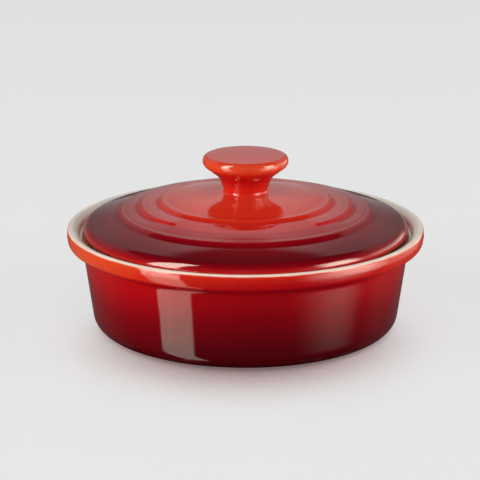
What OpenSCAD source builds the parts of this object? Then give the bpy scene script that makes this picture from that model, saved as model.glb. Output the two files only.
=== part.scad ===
// Round stoneware baker for one small soft cheese: a shallow dish with a rim band, and an inset domed
// lid with a knob. Millimetres, +Z up, origin at the centre of the foot, front at -Y.

/* [Dish] */
// Outer diameter of the rim band
rim_d = 160; // [120:1:220]
// Height of the lip above the table
dish_h = 46; // [36:0.5:80]
// Height of the rim band, from its underside to the lip
band_h = 7.7; // [5.5:0.1:10]
// Distance that the rim band stands out past the wall
band_out = 6.5; // [4:0.1:10]
// Distance that the wall draws in from the rim band to the table
wall_draw = 5.5; // [0:0.1:12]
// Thickness of the wall
wall_t = 6.4; // [4.5:0.1:8]
// Thickness of the floor
floor_t = 6.5; // [4:0.1:10]
// Rounding between the wall and the foot
base_round = 7; // [3:0.1:10]
// Rounding between the floor and the wall inside
inner_round = 9; // [3:0.1:14]
// Thickness of the lip beside the lid
lip_t = 5.6; // [4:0.1:7]
// Depth of the ledge that carries the lid, below the lip
ledge_drop = 4.5; // [3.6:0.1:5.5]
// Rounding of the lip's edges
lip_round = 1.5; // [0.5:0.1:1.9]
// Width of the bare foot ring
foot_w = 7; // [4:0.1:14]
// Height of the hollow inside the foot ring
foot_hollow = 1.2; // [0.7:0.1:2]

/* [Lid] */
// Gap all round between the lid's edge and the lip
lid_gap = 1.9; // [1.2:0.1:3.2]
// Height from the lid's seat to where the dome meets the lid's edge
edge_h = 5.8; // [4.2:0.05:8]
// Radius of the dome
dome_radius = 196; // [140:1:300]
// Thickness of the dome
lid_t = 5.5; // [4:0.1:7]
// Rounding of the lid's edge where it runs into the dome
edge_round = 3.5; // [1.5:0.1:3.5]
// Rounding of the lid's edge above its seat
seat_round = 1.8; // [0.5:0.1:2]
// Gap between the locating ring under the lid and the dish
fit_gap = 1.4; // [0.8:0.1:2.5]
// Depth of the locating ring below the lid's seat
locate_h = 3.5; // [2:0.1:6]
// Width of the locating ring
locate_w = 4.5; // [3.5:0.1:8]
// Distance from the lid's edge to the outermost raised ring
ring_edge = 16.5; // [8:0.1:20]
// Distance from one raised ring to the next
ring_step = 9.2; // [6:0.1:12]
// Height of the raised rings above the dome
ring_h = 0.6; // [0.5:0.1:1.5]
// Rounding of the raised rings
ring_round = 2.4; // [1.8:0.1:4]
// Angle over which the middle ring is left out at the front
ring_break = 88; // [20:1:120]

/* [Knob] */
// Diameter of the knob's cap
knob_d = 37.9; // [31:0.1:46]
// Height of the knob above its seat on the lid
knob_h = 17.8; // [15:0.1:26]
// Diameter of the knob's neck
neck_d = 18.6; // [14:0.1:22.5]
// Distance that the neck widens from its foot to the underside of the cap
neck_flare = 2.45; // [1.5:0.05:3.5]
// Height of the cap's upright side with its roundings
cap_side = 4.5; // [4:0.1:5.5]
// Height of the sloping underside of the cap
cap_slope = 5.8; // [4.5:0.1:7]
// Rounding of the cap's upper and lower edge
cap_round = 3; // [1.5:0.1:3.2]
// Rounding between the neck and the underside of the cap
flare_round = 5.6; // [3:0.1:6.5]
// Rounding between the neck and the lid
neck_fillet = 2.5; // [1.5:0.1:4]
// Rise of the cap's crown above its edge
crown = 0.45; // [0.2:0.05:1]

/* [Hidden] */
$fn = 96;

// Flat steps in each rounded corner, in the long dome and in a raised ring
corner_steps = 8;
dome_steps = 24;
ring_steps = 16;

// Small roundings that stay the same at every size
under_band_round = 1.5;
band_round = 2.4;
ledge_round = 1;
foot_round = 0.5;
locate_round = 1.4;
locate_inner_round = 3;

// The sloping wall under the rim band, the ledge and the foot ring
rim_r = rim_d / 2;
band_z = dish_h - band_h;
seat_z = dish_h - ledge_drop;
lip_in_r = rim_r - lip_t;
wall_top_r = rim_r - band_out;
wall_base_r = wall_top_r - wall_draw;
foot_in_r = wall_base_r - base_round - foot_w;

// Radius of the bore inside the wall at a height
function bore_r(z) = wall_base_r + wall_draw * z / band_z - wall_t;

// The lid lies on the ledge inside the lip, and its locating ring hangs in the bore
lid_r = lip_in_r - lid_gap;
dome_centre_z = seat_z + edge_h - sqrt(pow(dome_radius, 2) - pow(lid_r, 2));
inner_dome_radius = dome_radius - lid_t;
locate_r = bore_r(seat_z) - fit_gap;
locate_in_r = locate_r - locate_w;
ring_radii = [for (i = [2:-1:0]) lid_r - ring_edge - i * ring_step];

// The knob stands on a flat land that the dome has under its foot
neck_r = neck_d / 2;
knob_r = knob_d / 2;
foot_r = neck_r + neck_fillet;
knob_seat_z = dome_centre_z + sqrt(pow(dome_radius, 2) - pow(foot_r, 2));
knob_top_z = knob_seat_z + knob_h;

function xy(p) = [p.x, p.y];

function unit(v) = v / norm(v);

// Points on an arc about a centre, from one angle to another
function arc(centre, r, from, to, steps = corner_steps) =
    [for (i = [0:steps]) let (a = from + (to - from) * i / steps) centre + r * [cos(a), sin(a)]];

// Corner b of the path a, b, c as an arc of radius r that touches both of its sides
function corner(a, b, c, r) =
    let (
        u = unit(a - b),
        v = unit(c - b),
        half = acos(u * v) / 2,
        centre = b + unit(u + v) * r / sin(half),
        p = b + u * r / tan(half) - centre,
        q = b + v * r / tan(half) - centre,
        from = atan2(p.y, p.x),
        sweep = (atan2(q.y, q.x) - from + 540) % 360 - 180
    )
    arc(centre, r, from, from + sweep);

// Open path of [radius, height, rounding] points with its corners rounded
function rounded(path) =
    let (last = len(path) - 1)
    [for (i = [0:last]) each
        i == 0 || i == last || path[i].z == 0
            ? [xy(path[i])]
            : corner(xy(path[i - 1]), xy(path[i]), xy(path[i + 1]), path[i].z)];

// The path without points that repeat the one before
function clean(path) =
    [for (i = [0:len(path) - 1]) if (i == 0 || norm(path[i] - path[max(i - 1, 0)]) > 0.001) path[i]];

// Centre of a round of radius r that lies in a sphere about the dome's centre, touches it and reaches out to x
function edge_centre(x, sphere_r, r) =
    [x - r, dome_centre_z + sqrt(pow(sphere_r - r, 2) - pow(x - r, 2))];

// Angle at which that round runs into the sphere
function edge_angle(x, sphere_r, r) = acos((x - r) / (sphere_r - r));

// Half section of the dish, from the middle of the foot outwards and back over the floor
function dish_section() = rounded([
    [0, foot_hollow, 0],
    [foot_in_r - foot_hollow, foot_hollow, foot_round],
    [foot_in_r, 0, foot_round],
    [wall_base_r, 0, base_round],
    [wall_top_r, band_z, under_band_round],
    [rim_r, band_z, band_round],
    [rim_r, dish_h, lip_round],
    [lip_in_r, dish_h, lip_round],
    [lip_in_r, seat_z, ledge_round],
    [bore_r(seat_z), seat_z, ledge_round],
    [bore_r(floor_t), floor_t, inner_round],
    [0, floor_t, 0]
]);

// Half section of the lid without its raised rings, from the knob's seat outwards and back under the dome
function lid_section() =
    let (
        edge = edge_centre(lid_r, dome_radius, edge_round),
        edge_a = edge_angle(lid_r, dome_radius, edge_round),
        hollow = edge_centre(locate_in_r, inner_dome_radius, locate_inner_round),
        hollow_a = edge_angle(locate_in_r, inner_dome_radius, locate_inner_round)
    )
    clean(concat(
        [[0, knob_seat_z]],
        arc([0, dome_centre_z], dome_radius, acos(foot_r / dome_radius), edge_a, dome_steps),
        arc(edge, edge_round, edge_a, 0),
        rounded([
            [lid_r, edge.y, 0],
            [lid_r, seat_z, seat_round],
            [locate_r, seat_z, foot_round],
            [locate_r, seat_z - locate_h, locate_round],
            [locate_in_r, seat_z - locate_h, locate_round],
            [locate_in_r, hollow.y, 0]
        ]),
        arc(hollow, locate_inner_round, 0, hollow_a),
        arc([0, dome_centre_z], inner_dome_radius, hollow_a, 90, dome_steps)
    ));

// Half section of the knob, from its seat up the neck and over the cap
function knob_section() =
    let (
        fillet_z = knob_seat_z + neck_fillet,
        cap_edge_z = knob_top_z - crown,
        cap_low_z = knob_top_z - cap_side,
        crown_r = knob_r - cap_round
    )
    clean(concat(
        [[0, knob_seat_z]],
        arc([foot_r, fillet_z], neck_fillet, 270, 180),
        rounded([
            [neck_r, fillet_z, 0],
            [neck_r + neck_flare, cap_low_z - cap_slope, flare_round],
            [knob_r, cap_low_z, cap_round],
            [knob_r, cap_edge_z, cap_round],
            [crown_r, cap_edge_z, 0]
        ]),
        [for (i = [1:corner_steps]) let (t = 1 - i / corner_steps) [crown_r * t, knob_top_z - crown * t * t]]
    ));

// Section of a raised ring: a round cap that stands on the dome at a radius and is rooted in it
function ring_section(r) =
    let (
        tilt = asin(r / dome_radius),
        out = dome_radius + ring_h - ring_round,
        centre = [out * sin(tilt), dome_centre_z + out * cos(tilt)]
    )
    arc(centre, ring_round, -tilt, 180 - tilt, ring_steps);

module dish() {
    color("firebrick") rotate_extrude() polygon(dish_section());
}

module lid() {
    color("darkred") {
        rotate_extrude() {
            polygon(lid_section());
            polygon(ring_section(ring_radii[0]));
            polygon(ring_section(ring_radii[2]));
        }
        rotate([0, 0, ring_break / 2 - 90])
            rotate_extrude(angle = 360 - ring_break) polygon(ring_section(ring_radii[1]));
    }
}

module knob() {
    color("orangered") rotate_extrude() polygon(knob_section());
}

dish();
lid();
knob();
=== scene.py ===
import math

import bpy
import numpy as np
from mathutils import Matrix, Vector


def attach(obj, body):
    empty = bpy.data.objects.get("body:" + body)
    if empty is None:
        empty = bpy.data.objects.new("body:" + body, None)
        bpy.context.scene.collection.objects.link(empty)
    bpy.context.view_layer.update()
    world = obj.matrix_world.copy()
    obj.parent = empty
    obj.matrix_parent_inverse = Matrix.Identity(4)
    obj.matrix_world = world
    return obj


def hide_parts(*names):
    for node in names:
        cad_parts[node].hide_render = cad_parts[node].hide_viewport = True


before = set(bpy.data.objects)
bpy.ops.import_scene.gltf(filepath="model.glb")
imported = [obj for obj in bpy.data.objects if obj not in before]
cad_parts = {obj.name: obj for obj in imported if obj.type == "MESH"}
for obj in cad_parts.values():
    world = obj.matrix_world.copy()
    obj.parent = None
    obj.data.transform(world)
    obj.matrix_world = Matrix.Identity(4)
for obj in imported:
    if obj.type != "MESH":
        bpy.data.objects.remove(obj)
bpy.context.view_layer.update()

# The dish is one piece of stoneware, pressed in a mould, with a band round its rim and a ledge inside its
# lip. Outside it is glazed red, thin and orange over the edges and thick and dark towards the foot. Inside
# and on the lip it is glazed cream. The ring and hollow that it stands on are wiped bare before it is fired.

MM = 0.001
STEPS_ROUND = 256


def rounded(path, step=0.9, turn=5.0):
    """Points of a section through (radius, height, rounding) rows, in mm.

    Each corner becomes the arc of its rounding that touches both of its sides, in steps of about turn
    degrees. Each straight run is then cut into steps of at most step.
    """
    path = np.array(path, float)
    runs = [path[:1, :2]]
    for before, (r, z, rounding), after in zip(path[:-2], path[1:-1], path[2:]):
        corner = np.array([r, z])
        u, v = before[:2] - corner, after[:2] - corner
        u, v = u / np.hypot(*u), v / np.hypot(*v)
        half = math.acos(u @ v) / 2
        middle = corner + (u + v) / np.hypot(*(u + v)) * rounding / math.sin(half)
        start, end = (corner + side * rounding / math.tan(half) - middle for side in (u, v))
        first = math.atan2(start[1], start[0])
        sweep = (math.atan2(end[1], end[0]) - first + math.pi) % (2 * math.pi) - math.pi
        count = max(int(abs(math.degrees(sweep)) / turn), 3)
        runs.append(middle + rounding * circle(np.linspace(first, first + sweep, count + 1)))
    return cut(np.concatenate([*runs, path[-1:, :2]]), step)


def circle(angles):
    """Points (cos a, sin a) of the unit circle at some angles."""
    return np.stack([np.cos(angles), np.sin(angles)], -1)


def cut(points, step):
    """The same run of points with each gap longer than step shared out evenly, by linear interpolation."""
    gap = np.hypot(*np.diff(points, axis=0).T)
    count = np.maximum(np.ceil(gap / step), 1).astype(int)
    i = np.repeat(np.arange(len(gap)), count)
    share = (np.arange(len(i)) - np.repeat(np.cumsum(count) - count, count)) / count[i]
    return np.vstack([points[i] + (points[i + 1] - points[i]) * share[:, None], points[-1:]])


def along(section):
    """Distance along a section from its start to each point, in mm: the sum of the gaps before it."""
    return np.append(0, np.cumsum(np.hypot(*np.diff(section, axis=0).T)))


def edges(section, reach=0.9, grain=0.1):
    """How sharply a section turns at each point, in radians per mm: plus on an edge, minus in a corner.

    It is the slope of the heading over the distance along the section, taken in steps of grain and blurred
    by a bell curve of width reach.
    """
    way = along(section)
    heading = np.unwrap(np.arctan2(*np.diff(section, axis=0).T[::-1]))
    even = np.arange(0, way[-1], grain)
    bell = np.exp(-0.5 * (np.arange(-4 * reach, 4 * reach, grain) / reach) ** 2)
    slope = np.gradient(np.interp(even, (way[1:] + way[:-1]) / 2, heading), grain)
    return np.interp(way, even, np.convolve(slope, bell / bell.sum(), "same"))


def turned(name, r, z, marks):
    """Closed surface of a section turned about Z, with sizes in mm.

    Point (i, j) lies at radius r(i, j) and height z(i, j) in the direction of angle 2 pi j / STEPS_ROUND.
    The first and last row are on the axis, and each is one point. Each mark is a value at every point.
    """
    angle = 2 * math.pi * np.arange(STEPS_ROUND) / STEPS_ROUND
    r, z = (np.broadcast_to(x, (len(x), STEPS_ROUND)) for x in (r, z))

    def points(grid):
        return np.concatenate([grid[:1, 0], grid[1:-1].reshape(-1, *grid.shape[2:]), grid[-1:, 0]])

    spot = points(np.dstack([r * np.cos(angle), r * np.sin(angle), z])) * MM
    ring = 1 + np.arange((len(r) - 2) * STEPS_ROUND).reshape(-1, STEPS_ROUND)
    across = np.roll(ring, -1, axis=1)
    quads = np.stack([ring[:-1], across[:-1], across[1:], ring[1:]], -1).reshape(-1, 4)
    start, end = np.zeros_like(ring[0]), np.full_like(ring[0], len(spot) - 1)
    first_fan = np.stack([start, across[0], ring[0]], -1)
    last_fan = np.stack([end, ring[-1], across[-1]], -1)
    mesh = bpy.data.meshes.new(name)
    mesh.from_pydata(spot.tolist(), [], quads.tolist() + first_fan.tolist() + last_fan.tolist())
    mesh.shade_smooth()
    for mark, values in marks.items():
        values = points(np.broadcast_to(values, r.shape)).astype(np.float32)
        mesh.attributes.new(mark, "FLOAT", "POINT").data.foreach_set("value", values)
    piece = bpy.data.objects.new(name, mesh)
    bpy.context.scene.collection.objects.link(piece)
    return piece


def paint(red, green, blue):
    """Linear colour of a screen colour given from 0 to 255."""
    part = np.array([red, green, blue]) / 255
    linear = np.where(part < 0.04045, part / 12.92, ((part + 0.055) / 1.055) ** 2.4)
    return (*linear.tolist(), 1.0)


def node(tree, kind, inputs=None, **settings):
    """A new shader node with its settings. Inputs that are given a socket are linked, and others set."""
    made = tree.nodes.new("ShaderNode" + kind)
    for key, value in settings.items():
        setattr(made, key, value)
    for key, value in (inputs or {}).items():
        if isinstance(value, bpy.types.NodeSocket):
            tree.links.new(value, made.inputs[key])
        else:
            made.inputs[key].default_value = value
    return made


def math_node(tree, operation, a, b=0.0, c=0.0, clamp=False):
    """Output of a Math node."""
    return node(tree, "Math", {0: a, 1: b, 2: c}, operation=operation, use_clamp=clamp).outputs[0]


def mixed(tree, share, a, b):
    """Output of a Mix node that goes from colour a to colour b as share goes from 0 to 1."""
    return node(tree, "Mix", {0: share, 6: a, 7: b}, data_type="RGBA").outputs[2]


def ramp(tree, value, stops):
    """Output of a Color Ramp through (position, colour) stops."""
    made = node(tree, "ValToRGB", {0: value})
    for i, (position, colour) in enumerate(stops):
        stop = made.color_ramp.elements[i] if i < 2 else made.color_ramp.elements.new(position)
        stop.position, stop.color = position, colour
    return made.outputs[0]


def noise(tree, place, scale, detail=2.0):
    """Output of a Noise Texture about zero, from about -0.5 to 0.5."""
    made = node(tree, "TexNoise", {"Vector": place, "Scale": scale, "Detail": detail})
    return math_node(tree, "SUBTRACT", made.outputs[0], 0.5)


def specks(tree, place, scale, size):
    """Mask of round specks, one in each cell of a Voronoi Texture, with a radius of size in its units."""
    cells = node(tree, "TexVoronoi", {"Vector": place, "Scale": scale})
    return math_node(tree, "LESS_THAN", cells.outputs["Distance"], size)


def group(name, inputs, outputs):
    """A new shader node group with (name, kind) sockets, and its input and output nodes."""
    tree = bpy.data.node_groups.new(name, "ShaderNodeTree")
    for way, sockets in (("INPUT", inputs), ("OUTPUT", outputs)):
        for socket, kind in sockets:
            tree.interface.new_socket(socket, in_out=way, socket_type="NodeSocket" + kind)
    return tree, tree.nodes.new("NodeGroupInput"), tree.nodes.new("NodeGroupOutput")


# Red glaze: clear and orange where it lies thin, maroon where it lies thick, with soft clouds.
RED_CLOUD_SCALE, RED_CLOUD = 30.0, 0.07
MOTTLE_SCALE, MOTTLE = 420.0, 0.05
RED_TONES = [
    (0.0, paint(44, 3, 8)), (0.2, paint(84, 4, 13)), (0.4, paint(130, 4, 16)),
    (0.6, paint(176, 12, 18)), (0.8, paint(206, 42, 24)), (1.0, paint(230, 100, 52))]
red_glaze, given, made = group("red_glaze", [("Place", "Vector"), ("Thin", "Float")], [("Color", "Color")])
place = given.outputs["Place"]
cloud = math_node(red_glaze, "MULTIPLY", noise(red_glaze, place, RED_CLOUD_SCALE), RED_CLOUD)
mottle = math_node(red_glaze, "MULTIPLY", noise(red_glaze, place, MOTTLE_SCALE), MOTTLE)
thin = math_node(red_glaze, "ADD", math_node(red_glaze, "ADD", given.outputs["Thin"], cloud), mottle)
red_glaze.links.new(ramp(red_glaze, thin, RED_TONES), made.inputs["Color"])

# Cream glaze: warm white with soft clouds and a few small brown specks.
CREAM_CLOUD_SCALE = 40.0
CREAM_TONES = [(0.3, paint(236, 230, 216)), (0.7, paint(245, 240, 228))]
SPECK_SCALE, SPECK_SIZE, SPECK_BROWN = 210.0, 0.05, paint(176, 140, 98)
cream_glaze, given, made = group("cream_glaze", [("Place", "Vector")], [("Color", "Color")])
place = given.outputs["Place"]
cloud = math_node(cream_glaze, "ADD", noise(cream_glaze, place, CREAM_CLOUD_SCALE), 0.5)
cream = ramp(cream_glaze, cloud, CREAM_TONES)
spot = specks(cream_glaze, place, SPECK_SCALE, SPECK_SIZE)
cream_glaze.links.new(mixed(cream_glaze, spot, cream, SPECK_BROWN), made.inputs["Color"])

# Bare stoneware: buff, with the grain of the clay and darker grog in it.
CLAY_SCALE, CLAY_DETAIL = 900.0, 4.0
CLAY_TONES = [(0.3, paint(150, 112, 82)), (0.7, paint(184, 146, 112))]
GROG_SCALE, GROG_SIZE, GROG_BROWN = 420.0, 0.12, paint(120, 92, 68)
bare_clay, given, made = group("bare_clay", [("Place", "Vector")], [("Color", "Color"), ("Grain", "Float")])
place = given.outputs["Place"]
grain = math_node(bare_clay, "ADD", noise(bare_clay, place, CLAY_SCALE, CLAY_DETAIL), 0.5)
buff = ramp(bare_clay, grain, CLAY_TONES)
spot = specks(bare_clay, place, GROG_SCALE, GROG_SIZE)
bare_clay.links.new(mixed(bare_clay, spot, buff, GROG_BROWN), made.inputs["Color"])
bare_clay.links.new(grain, made.inputs["Grain"])

# Skin of a fired glaze: long low ripples, a fine orange peel, and gloss that varies a little.
RIPPLE_SCALE = 55.0
PEEL_SCALE, PEEL = 700.0, 0.03
GLOSS_SCALE, GLOSS_SPREAD, GLOSS_ROUGHNESS = 90.0, 0.03, 0.06
glaze_skin, given, made = group(
    "glaze_skin", [("Place", "Vector")], [("Roughness", "Float"), ("Height", "Float")])
place = given.outputs["Place"]
ripple = noise(glaze_skin, place, RIPPLE_SCALE, 0.0)
peel = noise(glaze_skin, place, PEEL_SCALE, 0.0)
height = math_node(glaze_skin, "MULTIPLY_ADD", peel, PEEL, ripple)
gloss = noise(glaze_skin, place, GLOSS_SCALE)
roughness = math_node(glaze_skin, "MULTIPLY_ADD", gloss, GLOSS_SPREAD, GLOSS_ROUGHNESS)
glaze_skin.links.new(height, made.inputs["Height"])
glaze_skin.links.new(roughness, made.inputs["Roughness"])

# The lines between the glazes wander by some tenths of a mm. The cream is painted warmer where it starts.
WANDER_SCALE, WANDER = 160.0, 0.35
CREAM_BLUR, BARE_BLUR = 0.5, 0.3
PAINTED_BOUNCE_CREAM, PAINTED_BOUNCE_WIDTH, PAINTED_BOUNCE_BLUR = paint(246, 213, 193), 1.2, 1.6
BARE_ROUGHNESS, BARE_GRAIN = 0.75, 0.6
BUMP_STRENGTH, BUMP_DEPTH = 0.5, 0.0001
GLAZE_IOR = 1.45


def glazed(name):
    """Material of a glazed piece.

    The marks of its mesh say how thin the red glaze lies, how far in mm a point lies past the line where red
    gives way to cream, and how far past the line where the clay is bare. The thin mark also holds painted
    light and shade: lighter sides and shade under the band on the dish, and shade under the knob's cap.
    """
    material = bpy.data.materials.new(name)
    material.use_nodes = True
    tree = material.node_tree
    shader = tree.nodes["Principled BSDF"]
    place = node(tree, "TexCoord").outputs["Object"]

    def mark(attribute):
        return node(tree, "Attribute", attribute_name=attribute).outputs["Fac"]

    def of_group(shared, **inputs):
        made = node(tree, "Group", node_tree=shared)
        tree.links.new(place, made.inputs["Place"])
        for key, value in inputs.items():
            tree.links.new(value, made.inputs[key])
        return made.outputs

    def past(distance, blur):
        wander = math_node(tree, "MULTIPLY_ADD", noise(tree, place, WANDER_SCALE), WANDER, distance)
        return math_node(tree, "MULTIPLY_ADD", wander, 1 / blur, 0.5, clamp=True)

    red = of_group(red_glaze, Thin=mark("thin"))["Color"]
    skin, clay = of_group(glaze_skin), of_group(bare_clay)
    is_cream, is_bare = past(mark("cream"), CREAM_BLUR), past(mark("bare"), BARE_BLUR)
    # The cream next to the red is painted warm: a painted reflection of the red glaze beside it.
    past_painted_bounce = past(math_node(tree, "SUBTRACT", mark("cream"), PAINTED_BOUNCE_WIDTH), PAINTED_BOUNCE_BLUR)
    cream = mixed(tree, past_painted_bounce, PAINTED_BOUNCE_CREAM, of_group(cream_glaze)["Color"])
    colour = mixed(tree, is_bare, mixed(tree, is_cream, red, cream), clay["Color"])
    roughness = math_node(tree, "MULTIPLY_ADD", is_bare, BARE_ROUGHNESS, skin["Roughness"])
    grain = math_node(tree, "MULTIPLY", is_bare, clay["Grain"])
    height = math_node(tree, "MULTIPLY_ADD", grain, BARE_GRAIN, skin["Height"])
    bump = node(tree, "Bump", {"Strength": BUMP_STRENGTH, "Distance": BUMP_DEPTH, "Height": height})
    for key, value in {"Base Color": colour, "Roughness": roughness, "Normal": bump.outputs[0]}.items():
        tree.links.new(value, shader.inputs[key])
    shader.inputs["IOR"].default_value = GLAZE_IOR
    return material


HOLLOW_Z = 1.2
FOOT_IN_R, FOOT_OUT_R, FOOT_ROUND = 54.0, 68.0, 7.0
WALL_TOP_R = 73.3
BAND_Z, BAND_LOW_R = 38.3, 79.3
BAND_R, BAND_MIDDLE_Z = 80.01, 42.7
LIP_Z, LIP_OUT_R, LIP_TOP_R = 46.0, 79.75, 77.6
LIP_IN_R, LIP_IN_Z = 74.9, 44.6
LEDGE_Z, LEDGE_OUT_R, LEDGE_IN_R = 41.5, 74.5, 67.42
FLOOR_Z, FLOOR_R = 6.5, 62.51
dish_section = rounded([
    (0, HOLLOW_Z, 0),
    (FOOT_IN_R - HOLLOW_Z, HOLLOW_Z, 0.5),
    (FOOT_IN_R, 0, 0.5),
    (FOOT_OUT_R, 0, FOOT_ROUND),
    (WALL_TOP_R, BAND_Z, 3.8),
    (BAND_LOW_R, BAND_Z, 2.6),
    (BAND_R, BAND_MIDDLE_Z, 5),
    (LIP_OUT_R, LIP_Z, 1.3),
    (LIP_TOP_R, LIP_Z, 2.2),
    (LIP_IN_R, LIP_IN_Z, 2.2),
    (LEDGE_OUT_R, LEDGE_Z, 1),
    (LEDGE_IN_R, LEDGE_Z, 1),
    (FLOOR_R, FLOOR_Z, 9),
    (0, FLOOR_Z, 0)])
r, z = dish_section.T[:, :, None]
way = along(dish_section)[:, None]

# The glaze is painted lighter and more orange towards the left and right sides: painted side light.
SIDE_LIGHT_ZERO_BEARING = 285
WALL_SIDE_LIGHT = 0.12
# The wall's tone dips just under the band: painted shade of the band over it.
WALL_ROWS = [0, 5, 10, 16, 23, 30, 35, BAND_Z]
WALL_THIN_AND_SHADE = [0.08, 0.13, 0.19, 0.26, 0.36, 0.46, 0.51, 0.4]
BAND_START_R = 74.5
BAND_ROWS = [BAND_Z, 40, 42, 44, 45.2, LIP_Z]
BAND_THIN = [0.42, 0.57, 0.62, 0.68, 0.8, 0.9]
BAND_SIDE_LIGHT = [0.25, 0.36, 0.3, 0.22, 0.08, 0.0]
angle = np.arange(STEPS_ROUND) * 360 / STEPS_ROUND
painted_side_light = np.sin(np.radians(angle - SIDE_LIGHT_ZERO_BEARING)) ** 2
wall_thin_light_and_shade = np.interp(z, WALL_ROWS, WALL_THIN_AND_SHADE) + WALL_SIDE_LIGHT * painted_side_light
band_thin_and_light = np.interp(z, BAND_ROWS, BAND_THIN) + painted_side_light * np.interp(z, BAND_ROWS, BAND_SIDE_LIGHT)
thin = np.where(r > BAND_START_R, band_thin_and_light, wall_thin_light_and_shade)

# Cream starts at the lip, and the clay is bare under the foot and on the ledge.
CREAM_LINE_Z = 45.35
FOOT_LINE_Z = 0.25
BARE_LEDGE_R, BARE_LEDGE_HALF = 70.9, 3.4
cream_line = way[np.argmax(z > CREAM_LINE_Z)]
foot_line = way[np.argmax((r > FOOT_OUT_R - FOOT_ROUND) & (z > FOOT_LINE_Z))]
ledge_middle = way[np.argmax((way > cream_line) & (r < BARE_LEDGE_R))]
bare = np.maximum(foot_line - way, BARE_LEDGE_HALF - np.abs(way - ledge_middle))
dish = turned("dish", r, z, {"thin": thin, "cream": way - cream_line, "bare": bare})
dish.data.materials.append(glazed("dish_glaze"))
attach(dish, "dish")
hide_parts("dish")

# The lid is pressed stoneware: a low dome with raised rings on it, the middle one open at the front, and a
# round edge. It rests on the ledge inside the lip, and a ring under it keeps it in place. It is glazed orange
# in the middle, burgundy towards the edge and cream underneath, with a bare line where it rests.

DOME_RADIUS = 190.0
DOME_MIDDLE_Z = 61.2 - DOME_RADIUS
LID_RADIUS = 72.8
LID_THICK = 5.5
EDGE_LOW_Z, EDGE_LEAN, EDGE_ROUND = 44.3, 12.0, 5.0
OUTER_SLOPES, OUTER_END, OUTER_POINTS = (14.0, 16.4), 67.0, 24
GUIDE_OUT, GUIDE_IN, GUIDE_Z, GUIDE_ROUND = 66.02, 61.52, 38.0, 3.0
SEAT_OUT = 70.4
FRONT = 270
RINGS = (37.2, 46.4, 55.7)
RING_RISE, RING_DROP = 0.3, 0.8
RING_IN, RING_OUT = 2.6, 3.0
RING_END, RING_END_HALF = 42.0, 1.5
RING_TAPER, RING_LEAST = 20.0, 0.3
LAND_LIFT = (RING_DROP - RING_RISE) / 2


def smooth(x, low, high):
    """Smooth step: 0 up to low, 1 from high on, and 3t^2 - 2t^3 between, with t the share of the way."""
    t = np.clip((x - low) / (high - low), 0, 1)
    return t * t * (3 - 2 * t)


def bow(middle, radius, start, end, step):
    """Points of an arc about a middle from one angle to another, in degrees, in steps of about step mm."""
    start, end = math.radians(start), math.radians(end)
    count = int(abs(end - start) * radius / step) + 2
    return np.array(middle) + radius * circle(np.linspace(start, end, count))


def ring_relief(radius, rings, widths):
    """Height of the rings and the lands between them over the outermost land, at some radii.

    Each ring climbs by RING_RISE over its inner flank and falls by RING_DROP over its outer flank, of its
    own width. The land from there climbs evenly to the next ring, to where the last one began.
    """
    relief = 2 * LAND_LIFT
    for ring, width, land_end in zip(rings, widths, [*(x - RING_IN for x in rings[1:]), None]):
        foot = ring + width
        relief = relief + RING_RISE * smooth(radius, ring - RING_IN, ring)
        relief = relief - RING_DROP * smooth(radius, ring, foot)
        if land_end:
            relief = relief + 2 * LAND_LIFT * np.clip((radius - foot) / (land_end - foot), 0, 1)
    return relief


def round_in(radius, sphere, rounding):
    """Middle of a round that touches a sphere about the dome's middle from inside and reaches to radius."""
    out = radius - rounding
    return [out, DOME_MIDDLE_Z + math.sqrt((sphere - rounding) ** 2 - out ** 2)]


def round_angle(radius, sphere, rounding):
    """Angle at which that round runs into the sphere, in degrees."""
    return math.degrees(math.acos((radius - rounding) / (sphere - rounding)))


# The outer zone falls ever more steeply from the last ring to the round edge, which leans in.
land_sphere = DOME_RADIUS - LAND_LIFT
outer_r = RINGS[-1] + RING_OUT
outer_z = DOME_MIDDLE_Z + math.sqrt(land_sphere ** 2 - outer_r ** 2)
fall_in, fall_out, lean = np.tan(np.radians([*OUTER_SLOPES, EDGE_LEAN]))
past_ring = np.linspace(OUTER_END - outer_r, 0, OUTER_POINTS)
bend = (fall_out - fall_in) / (2 * past_ring[0])
outer_zone = np.column_stack([outer_r + past_ring, outer_z - fall_in * past_ring - bend * past_ring ** 2])
end_z = outer_zone[0, 1]
corner_r = LID_RADIUS - lean * (end_z - EDGE_LOW_Z - fall_out * (LID_RADIUS - OUTER_END))
corner_z = end_z - fall_out * (corner_r - OUTER_END)

hollow_sphere = DOME_RADIUS - LID_THICK
hollow_a = round_angle(GUIDE_IN, hollow_sphere, GUIDE_ROUND)
hollow_middle = round_in(GUIDE_IN, hollow_sphere, GUIDE_ROUND)
hollow = bow((0, DOME_MIDDLE_Z), hollow_sphere, 90, hollow_a, step=1.5)
hollow_round = bow(hollow_middle, GUIDE_ROUND, hollow_a, 0, step=0.5)
guide_and_edge = rounded([
    (GUIDE_IN, hollow_middle[1], 0),
    (GUIDE_IN, GUIDE_Z, 1.4),
    (GUIDE_OUT, GUIDE_Z, 1.4),
    (GUIDE_OUT, LEDGE_Z, 0.5),
    (SEAT_OUT, LEDGE_Z, 0.8),
    (LID_RADIUS, EDGE_LOW_Z, 0.8),
    (corner_r, corner_z, EDGE_ROUND),
    (OUTER_END, end_z, 0)], step=0.4)
under = np.concatenate([hollow, hollow_round[1:], guide_and_edge[1:-1], outer_zone[:-1]])
outer_a = math.degrees(math.acos(outer_r / land_sphere))
top = bow((0, DOME_MIDDLE_Z), land_sphere, outer_a, 90, step=0.42)
lid_section = np.concatenate([under, top])

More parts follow.
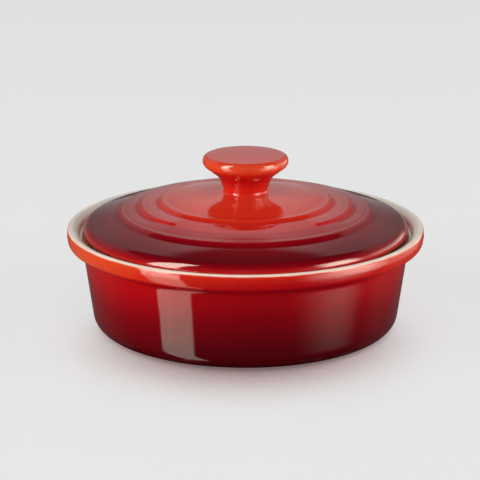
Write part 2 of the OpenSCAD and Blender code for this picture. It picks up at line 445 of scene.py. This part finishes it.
# The rings stand out from the dome, and near the front the middle one narrows and ends.
outward = np.zeros_like(lid_section)
outward[len(under):] = lid_section[len(under):] - (0, DOME_MIDDLE_Z)
outward /= np.maximum(np.hypot(*outward.T), 1)[:, None]
from_front = np.abs((angle - FRONT + 180) % 360 - 180)
taper = RING_OUT * np.clip((from_front - RING_END) / RING_TAPER, RING_LEAST, 1)
lid_r = lid_section[:, :1]
all_rings = ring_relief(lid_r, RINGS, (RING_OUT, taper, RING_OUT))
open_rings = ring_relief(lid_r, RINGS[::2], (RING_OUT, RING_OUT))
closed = smooth(from_front, RING_END - RING_END_HALF, RING_END + RING_END_HALF)
relief = open_rings + (all_rings - open_rings) * closed
r, z = (lid_section[:, axis, None] + outward[:, axis, None] * relief for axis in (0, 1))

# The glaze runs thin over the edges of the rings and gathers in their corners.
LID_ROWS = [0, 34, 38, 44, 50, 54.5, 57, 60, 66, 68]
LID_THIN = [0.83, 0.81, 0.76, 0.66, 0.56, 0.48, 0.37, 0.34, 0.27, 0.25]
RING_THINNING, RING_SHARPEST = 0.25, 0.3
EDGE_ROWS = [EDGE_LOW_Z, 45.4, 46.8, 48.6]
EDGE_THIN = [0.75, 0.6, 0.4, 0.24]
EDGE_SHARE = 0.7
turn = np.clip(edges(np.column_stack([r[:, 0], z[:, 0]])), -RING_SHARPEST, RING_SHARPEST)[:, None]
thin = np.interp(r, LID_ROWS, LID_THIN) + RING_THINNING * turn * (r < outer_r)
thin = np.where(r > corner_r - EDGE_ROUND * EDGE_SHARE, np.interp(z, EDGE_ROWS, EDGE_THIN), thin)

# Red starts just above the seat, and the clay is bare below that line.
RED_LINE_RISE = 1.0
BARE_SEAT_HALF = 2.0
way = along(lid_section)[:, None]
red_line = way[np.argmax((lid_section[:, 0] > SEAT_OUT) & (lid_section[:, 1] > LEDGE_Z + RED_LINE_RISE))]
bare = BARE_SEAT_HALF - np.abs(way - red_line + BARE_SEAT_HALF)
lid = turned("lid", r, z, {"thin": thin, "cream": red_line - way, "bare": bare})
lid.data.materials.append(glazed("lid_glaze"))
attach(lid, "lid")
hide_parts("lid")

# The knob is formed by itself and stuck to the lid with slip: a narrow neck that flares into a flat cap with
# a round edge. It is glazed with the lid, thin and orange on the cap and full red on the neck.

ROOT_Z = 60.3
SLIP_R, SLIP_Z = 11.6, 61.02
NECK_R, NECK_Z = 9.25, 61.15
FLARE_R, FLARE_Z = 11.9, 68.3
CAP_LOW_R, CAP_LOW_Z = 19.2, 73.95
KNOB_TOP_Z = 78.6
CROWN, CROWN_R, CROWN_POINTS = 0.35, 15.0, 30
CAP_R = 18.95
CAP_EDGE_Z = KNOB_TOP_Z - CROWN * (3 * CAP_R / CROWN_R - 2)
neck_and_cap = rounded([
    (0, ROOT_Z, 0),
    (SLIP_R, ROOT_Z, 0.1),
    (SLIP_R, SLIP_Z, 0.1),
    (NECK_R, NECK_Z, 1.25),
    (FLARE_R, FLARE_Z, 6.2),
    (CAP_LOW_R, CAP_LOW_Z, 3.0),
    (CAP_R, CAP_EDGE_Z, 2.4),
    (CROWN_R, KNOB_TOP_Z - CROWN, 0)], step=0.5)
share = np.linspace(1, 0, CROWN_POINTS)
crown = np.column_stack([CROWN_R * share, KNOB_TOP_Z - CROWN * share ** 3])
knob_section = np.concatenate([neck_and_cap, crown[1:]])
r, z = knob_section.T[:, :, None]

# Painted shade darkens the neck just under the cap, and painted bounce light makes the cap's underside
# orange.
KNOB_ROWS = [61, 63, 66, 69.5, 71.5, 73.2, 75.5, KNOB_TOP_Z]
KNOB_THIN_AND_SHADE = [0.86, 0.81, 0.7, 0.61, 0.67, 0.8, 0.84, 0.77]
KNOB_THINNING, KNOB_SHARPEST = 0.15, 0.4
NOWHERE = -9.0
turn = np.clip(edges(knob_section), -KNOB_SHARPEST, KNOB_SHARPEST)[:, None]
thin = np.interp(z, KNOB_ROWS, KNOB_THIN_AND_SHADE) + KNOB_THINNING * turn
knob = turned("knob", r, z, {"thin": thin, "cream": NOWHERE, "bare": NOWHERE})
knob.data.materials.append(glazed("knob_glaze"))
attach(knob, "lid")
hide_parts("knob")

# The stage is a plain pale floor under a pale sky that darkens overhead, and four broad lamps light the
# piece. A tall glowing panel at the front left and soft ones at the right show in the glaze by way of the
# dark polished board that they stand on, and narrow strips beside them show straight in it.


def grey(level):
    """A grey of a linear level."""
    return (level, level, level, 1.0)


def times(tree, a, b):
    """Output of a Mix node that multiplies two colours."""
    return node(tree, "Mix", {0: 1.0, 6: a, 7: b}, data_type="RGBA", blend_type="MULTIPLY").outputs[2]


def eased(tree, value, low, high, start, end):
    """Output of a Map Range node that goes smoothly from start to end as value goes from low to high."""
    inputs = {"Value": value, "From Min": low, "From Max": high, "To Min": start, "To Max": end}
    return node(tree, "MapRange", inputs, interpolation_type="SMOOTHSTEP").outputs[0]


def bare_material(name):
    """A new material with no nodes in it."""
    material = bpy.data.materials.new(name)
    material.use_nodes = True
    material.node_tree.nodes.clear()
    return material


def flat(name, width, height, material):
    """A rectangle about the origin of its own XY plane that is part of the stage."""
    mesh = bpy.data.meshes.new(name)
    corners = [(x * width / 2, y * height / 2, 0) for x, y in ((-1, -1), (1, -1), (1, 1), (-1, 1))]
    mesh.from_pydata(corners, [], [(0, 1, 2, 3)])
    mesh.materials.append(material)
    made = bpy.data.objects.new(name, mesh)
    bpy.context.scene.collection.objects.link(made)
    return made


def only_in_gloss(piece):
    """Show a part of the stage in glossy surfaces only."""
    piece.visible_camera = piece.visible_diffuse = piece.visible_shadow = piece.visible_transmission = False


# The floor gives off some light in the view, and a painted shadow in it is deepest where the least sky is
# open.
FLOOR_SIZE = 16
FLOOR_GREY = grey(0.7)
FLOOR_ROUGHNESS = 0.9
FLOOR_LIFT, FLOOR_SHARE = 0.634, 0.2
SKY_WAY = {"Y": 0.866, "Z": 0.5}
SHADOW_REACH, SHADOW_SAMPLES = 0.2, 16
# The shadow's tones are reddish near the dish: a painted reflection of the red glaze.
SHADOW_TONES = [
    (0.22, (0.1, 0.05, 0.05, 1.0)), (0.285, (0.4, 0.28, 0.28, 1.0)), (0.33, (0.58, 0.44, 0.44, 1.0)),
    (0.44, (0.72, 0.615, 0.615, 1.0)), (0.53, (0.85, 0.79, 0.79, 1.0)), (0.62, (0.945, 0.935, 0.935, 1.0)),
    (0.72, grey(1.0))]
floor_paint = bare_material("floor_paint")
tree = floor_paint.node_tree
in_view = node(tree, "LightPath").outputs["Is Camera Ray"]
sky_way = node(tree, "CombineXYZ", SKY_WAY).outputs[0]
open_sky = node(
    tree, "AmbientOcclusion", {"Distance": SHADOW_REACH, "Normal": sky_way}, samples=SHADOW_SAMPLES)
shade = ramp(tree, open_sky.outputs["AO"], SHADOW_TONES)
matt = node(tree, "BsdfPrincipled", {
    "Base Color": mixed(tree, in_view, FLOOR_GREY, times(tree, shade, grey(FLOOR_SHARE))),
    "Roughness": FLOOR_ROUGHNESS,
    "Specular IOR Level": 0.0,
    "Emission Color": shade,
    "Emission Strength": math_node(tree, "MULTIPLY", in_view, FLOOR_LIFT)})
node(tree, "OutputMaterial", {"Surface": matt.outputs[0]})
floor = flat("floor", FLOOR_SIZE, FLOOR_SIZE, floor_paint)
floor.visible_glossy = False

# The board lies just under the floor, and only the glaze shows it.
BOARD_SIZE = 3
BOARD_DROP = 0.0002
BOARD_GREY, BOARD_ROUGHNESS, BOARD_IOR = grey(0.03), 0.04, 2.3
board_polish = bare_material("board_polish")
tree = board_polish.node_tree
polish = node(
    tree, "BsdfPrincipled", {"Base Color": BOARD_GREY, "Roughness": BOARD_ROUGHNESS, "IOR": BOARD_IOR})
node(tree, "OutputMaterial", {"Surface": polish.outputs[0]})
board = flat("board", BOARD_SIZE, BOARD_SIZE, board_polish)
board.location.z = -BOARD_DROP
only_in_gloss(board)

# The sky is one pale tone in the view. In the glaze it is brightest at the back and dark overhead.
PALE = 0.79
SKY_LIGHT = 0.45
SKY_LEVELS = [
    (0.0, 0.5), (0.1, 0.46), (0.2, 0.52), (0.28, 0.57), (0.36, 0.74), (0.6, 0.9), (0.67, 0.9), (0.705, 0.07),
    (1.0, 0.03)]
SKY_FRONT, SKY_BACK_FROM = 0.25, 0.55
SKY_SIDE, SKY_SIDE_FROM, SKY_SIDE_TO = 0.45, 0.06, 0.23
SKY_DEPTH = 2.5
world = bpy.data.worlds.new("studio")
bpy.context.scene.world = world
world.use_nodes = True
tree = world.node_tree
way_out = node(tree, "SeparateXYZ", {0: node(tree, "TexCoord").outputs["Generated"]}).outputs
sky = ramp(tree, way_out["Z"], [(position, grey(level)) for position, level in SKY_LEVELS])
behind = eased(tree, way_out["Y"], 0.0, SKY_BACK_FROM, SKY_FRONT, 1.0)
aside = math_node(tree, "ABSOLUTE", way_out["X"])
centred = eased(tree, aside, SKY_SIDE_FROM, SKY_SIDE_TO, 1.0, SKY_SIDE)
path = node(tree, "LightPath").outputs
shown = math_node(tree, "MAXIMUM", path["Is Camera Ray"], path["Is Transmission Ray"])
early = math_node(tree, "LESS_THAN", path["Ray Depth"], SKY_DEPTH)
mirrored = math_node(tree, "MULTIPLY", path["Is Glossy Ray"], early)
light = math_node(tree, "MAXIMUM", math_node(tree, "MULTIPLY", mirrored, centred), SKY_LIGHT)
dimmed = times(tree, sky, math_node(tree, "MULTIPLY", behind, light))
tree.links.new(mixed(tree, shown, dimmed, grey(PALE)), tree.nodes["Background"].inputs["Color"])

AIM = np.array([0, 0, 0.045])
PANEL_TINT = (1.0, 0.92, 0.79, 1.0)
STRAIGHT_DEPTH = 1.5


def bearing_place(bearing, distance, height):
    """Point at a bearing in degrees, from the front to the right, and at a distance and height in metres."""
    turn = math.radians(bearing)
    return np.array([distance * math.sin(turn), -distance * math.cos(turn), height])


def lamp(name, place, width, height, watts):
    """A broad lamp that lights the piece without showing in the glaze."""
    light = bpy.data.lights.new(name, "AREA")
    light.shape, light.size, light.size_y, light.energy = "RECTANGLE", width, height, watts
    made = bpy.data.objects.new(name, light)
    made.location = place
    made.rotation_euler = Vector(AIM - place).to_track_quat("-Z", "Y").to_euler()
    made.visible_glossy = made.visible_camera = False
    bpy.context.scene.collection.objects.link(made)


def panel(name, bearing, distance, facing, roll, width, low, high, soft, straight, by_board):
    """A glowing upright panel that shows only in the glaze.

    It faces the bearing facing, and leans to the side by roll degrees. It fades to its sides and ends over
    the soft lengths. It has one strength straight in the glaze, and one by way of the board.
    """
    material = bare_material(name)
    tree = material.node_tree
    spot = node(tree, "SeparateXYZ", {0: node(tree, "TexCoord").outputs["Object"]})
    depth = node(tree, "LightPath").outputs["Ray Depth"]
    is_straight = math_node(tree, "LESS_THAN", depth, STRAIGHT_DEPTH)
    glow = math_node(tree, "MULTIPLY_ADD", is_straight, straight - by_board, by_board)
    for axis, size in enumerate((width, high - low)):
        inner = math_node(tree, "SUBTRACT", size / 2, math_node(tree, "ABSOLUTE", spot.outputs[axis]))
        glow = math_node(tree, "MULTIPLY", eased(tree, inner, 0.0, soft[axis], 0.0, 1.0), glow)
    shine = node(tree, "Emission", {"Color": PANEL_TINT, "Strength": glow}).outputs[0]
    clear = node(tree, "BsdfTransparent").outputs[0]
    node(tree, "OutputMaterial", {"Surface": node(tree, "AddShader", {0: shine, 1: clear}).outputs[0]})
    made = flat(name, width, high - low, material)
    made.location = bearing_place(bearing, distance, (low + high) / 2)
    made.rotation_euler = (math.radians(90), -math.radians(roll), math.radians(facing))
    only_in_gloss(made)


lamp("top_lamp", np.array([0, -0.6, 3.0]), width=2.4, height=2.4, watts=30.5)
lamp("left_lamp", bearing_place(-70, 2.0, 0.5), width=1.4, height=1.6, watts=43)
lamp("right_lamp", bearing_place(80, 2.1, 0.5), width=1.5, height=1.2, watts=36)
lamp("front_lamp", bearing_place(8, 2.2, 0.6), width=1.8, height=1.2, watts=11)
panel("left_panel", bearing=-51.5, distance=0.6, facing=-51.5, roll=0, width=0.277, low=0.0, high=1.04,
      soft=(0.006, 0.006), straight=0, by_board=17)
panel("left_strip", bearing=-56, distance=0.6, facing=-56, roll=0, width=0.266, low=0.0, high=1.04,
      soft=(0.04, 0.02), straight=17, by_board=0)
panel("right_panel", bearing=72.5, distance=1.068, facing=52, roll=2.5, width=1.65, low=-0.4, high=0.695,
      soft=(0.8, 0.4), straight=1.9, by_board=19)
panel("far_panel", bearing=118, distance=1.2, facing=118, roll=-15, width=1.5, low=-0.3, high=0.57,
      soft=(0.4, 0.4), straight=2.8, by_board=2.8)
panel("right_strip", bearing=68, distance=1.0, facing=68, roll=0, width=0.76, low=0.0, high=0.9,
      soft=(0.3, 0.3), straight=16, by_board=0)

SENSOR_WIDTH, LENS = 36, 155.98
CAMERA_PLACE, CAMERA_TILT = (-0.00246, -0.9, 0.2974), 73.956
camera = bpy.data.cameras.new("camera")
camera.sensor_width, camera.lens = SENSOR_WIDTH, LENS
view = bpy.data.objects.new("camera", camera)
view.location, view.rotation_euler = CAMERA_PLACE, (math.radians(CAMERA_TILT), 0, 0)
bpy.context.scene.collection.objects.link(view)
bpy.context.scene.camera = view
bpy.context.scene.view_settings.view_transform = "Standard"
